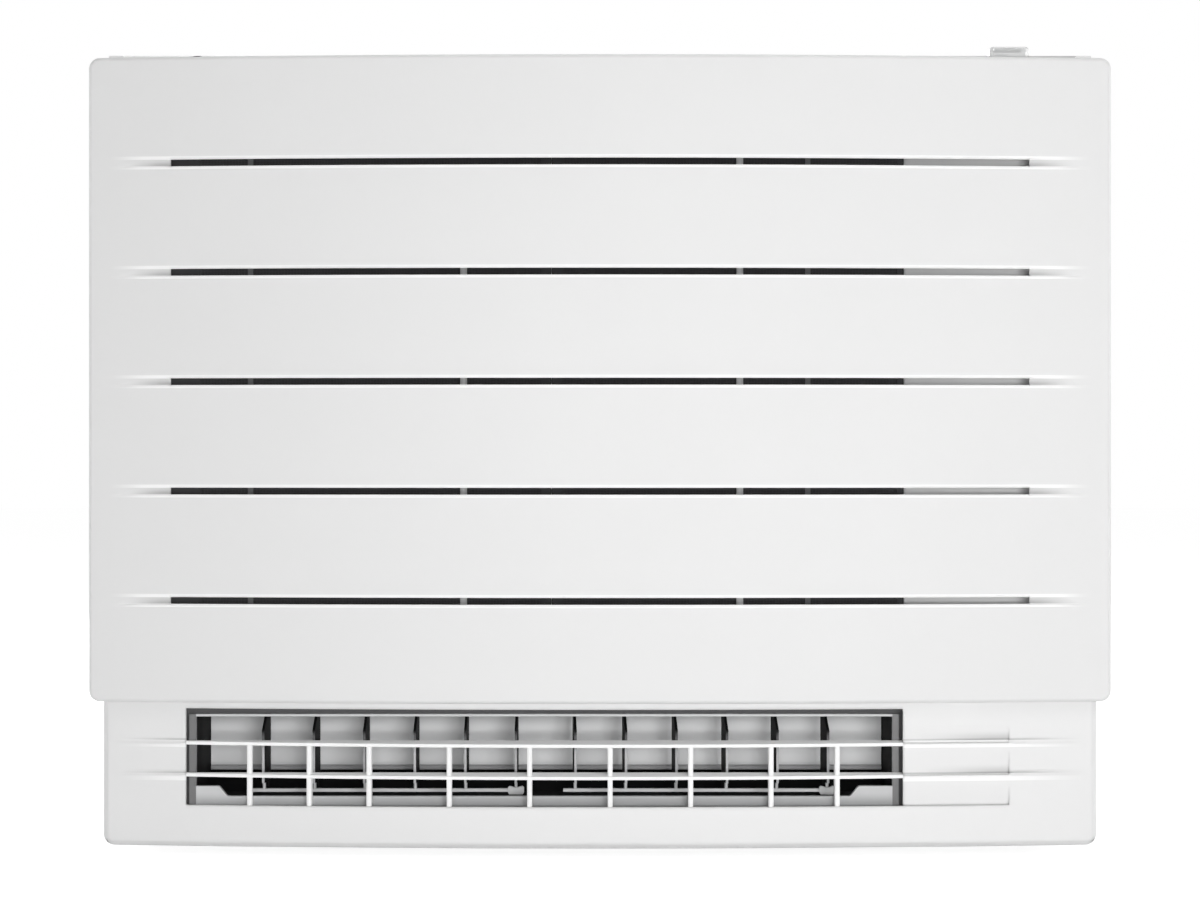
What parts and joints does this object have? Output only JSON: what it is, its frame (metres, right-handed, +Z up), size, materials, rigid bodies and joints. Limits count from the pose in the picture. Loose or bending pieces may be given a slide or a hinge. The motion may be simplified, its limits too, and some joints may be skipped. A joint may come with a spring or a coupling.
{
  "type": "floor standing air conditioner",
  "caption": "Low white floor standing air conditioner with a bowed slotted front panel that tilts, a lower outlet with ganged vanes and a flap on top.",
  "frame": {"origin": "on the floor, under the middle of the bounding box", "axes": "+X to the right seen from the front, the bowed front faces -Y, +Z up"},
  "size_m": [0.75, 0.238, 0.6],
  "materials": {
    "white_shell": "satin white moulded shell",
    "pale_inner": "pale grey inner moulding",
    "dark_duct": "near black duct",
    "dark_vane": "dark grey vane",
    "filter_mesh": "dark grey filter frame and mesh",
    "foam_grey": "grey foam moulding",
    "fan_grey": "grey moulded fan",
    "coil_aluminium": "bare finned aluminium",
    "galvanised": "galvanised sheet",
    "copper": "bare copper tube",
    "nut_brass": "bare brass",
    "motor_steel": "pressed steel can",
    "board_green": "coated board",
    "terminal_white": "terminal moulding",
    "pod_clear": "milky translucent",
    "window_dark": "smoked lens",
    "screw_steel": "plated"
  },
  "bodies": {
    "cabinet": {"front_casing": "white_shell", "outlet_grille": "white_shell", "lower_outlet_rim": "pale_inner", "lower_duct": "dark_duct", "top_cover": "white_shell", "upper_duct": "dark_duct", "rear_frame": "white_shell", "fan_housing": "foam_grey", "bell_mouth": "foam_grey", "fan_motor": "motor_steel", "motor_bracket": "galvanised", "exchanger_fins": "coil_aluminium", "exchanger_end_plates": "galvanised", "exchanger_bends": "copper", "drain_pan": "pale_inner", "filter_left": "filter_mesh", "filter_right": "filter_mesh", "electrical_box": "galvanised", "electrical_cover": "galvanised", "control_board": "board_green", "terminal_block": "terminal_white", "gas_pipe": "copper", "liquid_pipe": "copper", "flare_unions": "nut_brass", "display_pod": "pod_clear", "receiver_window": "window_dark", "stepper_motors": "motor_steel", "screws": "screw_steel"},
    "panel": {"front_panel": "white_shell"},
    "stopper_left": {"panel_stopper_left": "white_shell"},
    "stopper_right": {"panel_stopper_right": "white_shell"},
    "flap": {"upper_flap": "white_shell"},
    "shutter": {"lower_shutter": "pale_inner"},
    "fan": {"fan_rotor": "fan_grey", "fan_nut": "screw_steel", "motor_shaft": "motor_steel"},
    "button": {"power_button": "pale_inner"},
    "lower_vane_left_1": {"lower_vane_left_1": "dark_vane"},
    "lower_vane_left_2": {"lower_vane_left_2": "dark_vane"},
    "lower_vane_left_3": {"lower_vane_left_3": "dark_vane"},
    "lower_vane_left_4": {"lower_vane_left_4": "dark_vane"},
    "lower_vane_left_5": {"lower_vane_left_5": "dark_vane"},
    "lower_vane_left_6": {"lower_vane_left_6": "dark_vane"},
    "lower_tie_left": {"lower_tie_left": "pale_inner"},
    "lower_vane_right_1": {"lower_vane_right_1": "dark_vane"},
    "lower_vane_right_2": {"lower_vane_right_2": "dark_vane"},
    "lower_vane_right_3": {"lower_vane_right_3": "dark_vane"},
    "lower_vane_right_4": {"lower_vane_right_4": "dark_vane"},
    "lower_vane_right_5": {"lower_vane_right_5": "dark_vane"},
    "lower_vane_right_6": {"lower_vane_right_6": "dark_vane"},
    "lower_tie_right": {"lower_tie_right": "pale_inner"},
    "upper_vane_left_1": {"upper_vane_left_1": "dark_vane"},
    "upper_vane_left_2": {"upper_vane_left_2": "dark_vane"},
    "upper_vane_left_3": {"upper_vane_left_3": "dark_vane"},
    "upper_tie_left": {"upper_tie_left": "dark_vane"},
    "upper_vane_right_1": {"upper_vane_right_1": "dark_vane"},
    "upper_vane_right_2": {"upper_vane_right_2": "dark_vane"},
    "upper_vane_right_3": {"upper_vane_right_3": "dark_vane"},
    "upper_tie_right": {"upper_tie_right": "dark_vane"}
  },
  "joints": [
    {"name": "panel_tilt", "type": "hinge", "parent": "cabinet", "child": "panel", "pos_m": [0, -0.1021, 0.117], "axis": [1, 0, 0], "range_deg": [0, 40]},
    {"name": "stopper_left_slide", "type": "slide", "parent": "panel", "child": "stopper_left", "axis": [1, 0, 0], "range_m": [0, 0.006]},
    {"name": "stopper_right_slide", "type": "slide", "parent": "panel", "child": "stopper_right", "axis": [-1, 0, 0], "range_m": [0, 0.006]},
    {"name": "flap_hinge", "type": "hinge", "parent": "cabinet", "child": "flap", "pos_m": [0, -0.026, 0.59265], "axis": [-1, 0, 0], "range_deg": [0, 70]},
    {"name": "shutter_hinge", "type": "hinge", "parent": "cabinet", "child": "shutter", "pos_m": [0, -0.019, 0.099], "axis": [1, 0, 0], "range_deg": [0, 78]},
    {"name": "fan_spin", "type": "hinge", "parent": "cabinet", "child": "fan", "pos_m": [-0.041, 0, 0.33], "axis": [0, 1, 0], "continuous": true},
    {"name": "power_press", "type": "slide", "parent": "cabinet", "child": "button", "axis": [0, 0, -1], "range_m": [0, 0.001], "stiffness_N_per_m": 600, "springref_m": -0.001},
    {"name": "lower_vane_left_1_turn", "type": "hinge", "parent": "cabinet", "child": "lower_vane_left_1", "pos_m": [-0.25, -0.042, 0.08], "axis": [0, 0, 1], "range_deg": [-30, 30]},
    {"name": "lower_vane_left_2_turn", "type": "hinge", "parent": "cabinet", "child": "lower_vane_left_2", "pos_m": [-0.2125, -0.042, 0.08], "axis": [0, 0, 1], "range_deg": [-30, 30]},
    {"name": "lower_vane_left_3_turn", "type": "hinge", "parent": "cabinet", "child": "lower_vane_left_3", "pos_m": [-0.175, -0.042, 0.08], "axis": [0, 0, 1], "range_deg": [-30, 30]},
    {"name": "lower_vane_left_4_turn", "type": "hinge", "parent": "cabinet", "child": "lower_vane_left_4", "pos_m": [-0.1375, -0.042, 0.08], "axis": [0, 0, 1], "range_deg": [-30, 30]},
    {"name": "lower_vane_left_5_turn", "type": "hinge", "parent": "cabinet", "child": "lower_vane_left_5", "pos_m": [-0.1, -0.042, 0.08], "axis": [0, 0, 1], "range_deg": [-30, 30]},
    {"name": "lower_vane_left_6_turn", "type": "hinge", "parent": "cabinet", "child": "lower_vane_left_6", "pos_m": [-0.0625, -0.042, 0.08], "axis": [0, 0, 1], "range_deg": [-30, 30]},
    {"name": "lower_tie_left_pivot", "type": "hinge", "parent": "lower_vane_left_1", "child": "lower_tie_left", "pos_m": [-0.25, -0.066, 0.052], "axis": [0, 0, 1], "range_deg": [-30, 30]},
    {"name": "lower_vane_right_1_turn", "type": "hinge", "parent": "cabinet", "child": "lower_vane_right_1", "pos_m": [-0.0195, -0.042, 0.08], "axis": [0, 0, 1], "range_deg": [-30, 30]},
    {"name": "lower_vane_right_2_turn", "type": "hinge", "parent": "cabinet", "child": "lower_vane_right_2", "pos_m": [0.018, -0.042, 0.08], "axis": [0, 0, 1], "range_deg": [-30, 30]},
    {"name": "lower_vane_right_3_turn", "type": "hinge", "parent": "cabinet", "child": "lower_vane_right_3", "pos_m": [0.0555, -0.042, 0.08], "axis": [0, 0, 1], "range_deg": [-30, 30]},
    {"name": "lower_vane_right_4_turn", "type": "hinge", "parent": "cabinet", "child": "lower_vane_right_4", "pos_m": [0.093, -0.042, 0.08], "axis": [0, 0, 1], "range_deg": [-30, 30]},
    {"name": "lower_vane_right_5_turn", "type": "hinge", "parent": "cabinet", "child": "lower_vane_right_5", "pos_m": [0.1305, -0.042, 0.08], "axis": [0, 0, 1], "range_deg": [-30, 30]},
    {"name": "lower_vane_right_6_turn", "type": "hinge", "parent": "cabinet", "child": "lower_vane_right_6", "pos_m": [0.168, -0.042, 0.08], "axis": [0, 0, 1], "range_deg": [-30, 30]},
    {"name": "lower_tie_right_pivot", "type": "hinge", "parent": "lower_vane_right_1", "child": "lower_tie_right", "pos_m": [-0.01845, -0.06598, 0.052], "axis": [0, 0, 1], "range_deg": [-30, 30]},
    {"name": "upper_vane_left_1_turn", "type": "hinge", "parent": "cabinet", "child": "upper_vane_left_1", "pos_m": [-0.241, -0.052, 0.561], "axis": [0, 1, 0], "range_deg": [-30, 30]},
    {"name": "upper_vane_left_2_turn", "type": "hinge", "parent": "cabinet", "child": "upper_vane_left_2", "pos_m": [-0.161, -0.052, 0.561], "axis": [0, 1, 0], "range_deg": [-30, 30]},
    {"name": "upper_vane_left_3_turn", "type": "hinge", "parent": "cabinet", "child": "upper_vane_left_3", "pos_m": [-0.081, -0.052, 0.561], "axis": [0, 1, 0], "range_deg": [-30, 30]},
    {"name": "upper_tie_left_pivot", "type": "hinge", "parent": "upper_vane_left_1", "child": "upper_tie_left", "pos_m": [-0.241, -0.052, 0.549], "axis": [0, 1, 0], "range_deg": [-30, 30]},
    {"name": "upper_vane_right_1_turn", "type": "hinge", "parent": "cabinet", "child": "upper_vane_right_1", "pos_m": [-0.001, -0.052, 0.561], "axis": [0, 1, 0], "range_deg": [-30, 30]},
    {"name": "upper_vane_right_2_turn", "type": "hinge", "parent": "cabinet", "child": "upper_vane_right_2", "pos_m": [0.079, -0.052, 0.561], "axis": [0, 1, 0], "range_deg": [-30, 30]},
    {"name": "upper_vane_right_3_turn", "type": "hinge", "parent": "cabinet", "child": "upper_vane_right_3", "pos_m": [0.159, -0.052, 0.561], "axis": [0, 1, 0], "range_deg": [-30, 30]},
    {"name": "upper_tie_right_pivot", "type": "hinge", "parent": "upper_vane_right_1", "child": "upper_tie_right", "pos_m": [-0.001, -0.052, 0.549], "axis": [0, 1, 0], "range_deg": [-30, 30]}
  ],
  "couplings": [
    {"joint": "lower_vane_left_2_turn", "follows": "lower_vane_left_1_turn", "ratio": 1},
    {"joint": "lower_vane_left_3_turn", "follows": "lower_vane_left_1_turn", "ratio": 1},
    {"joint": "lower_vane_left_4_turn", "follows": "lower_vane_left_1_turn", "ratio": 1},
    {"joint": "lower_vane_left_5_turn", "follows": "lower_vane_left_1_turn", "ratio": 1},
    {"joint": "lower_vane_left_6_turn", "follows": "lower_vane_left_1_turn", "ratio": 1},
    {"joint": "lower_tie_left_pivot", "follows": "lower_vane_left_1_turn", "ratio": -1},
    {"joint": "lower_vane_right_2_turn", "follows": "lower_vane_right_1_turn", "ratio": 1},
    {"joint": "lower_vane_right_3_turn", "follows": "lower_vane_right_1_turn", "ratio": 1},
    {"joint": "lower_vane_right_4_turn", "follows": "lower_vane_right_1_turn", "ratio": 1},
    {"joint": "lower_vane_right_5_turn", "follows": "lower_vane_right_1_turn", "ratio": 1},
    {"joint": "lower_vane_right_6_turn", "follows": "lower_vane_right_1_turn", "ratio": 1},
    {"joint": "lower_tie_right_pivot", "follows": "lower_vane_right_1_turn", "ratio": -1},
    {"joint": "upper_vane_left_2_turn", "follows": "upper_vane_left_1_turn", "ratio": 1},
    {"joint": "upper_vane_left_3_turn", "follows": "upper_vane_left_1_turn", "ratio": 1},
    {"joint": "upper_tie_left_pivot", "follows": "upper_vane_left_1_turn", "ratio": -1},
    {"joint": "upper_vane_right_2_turn", "follows": "upper_vane_right_1_turn", "ratio": 1},
    {"joint": "upper_vane_right_3_turn", "follows": "upper_vane_right_1_turn", "ratio": 1},
    {"joint": "upper_tie_right_pivot", "follows": "upper_vane_right_1_turn", "ratio": -1}
  ]
}
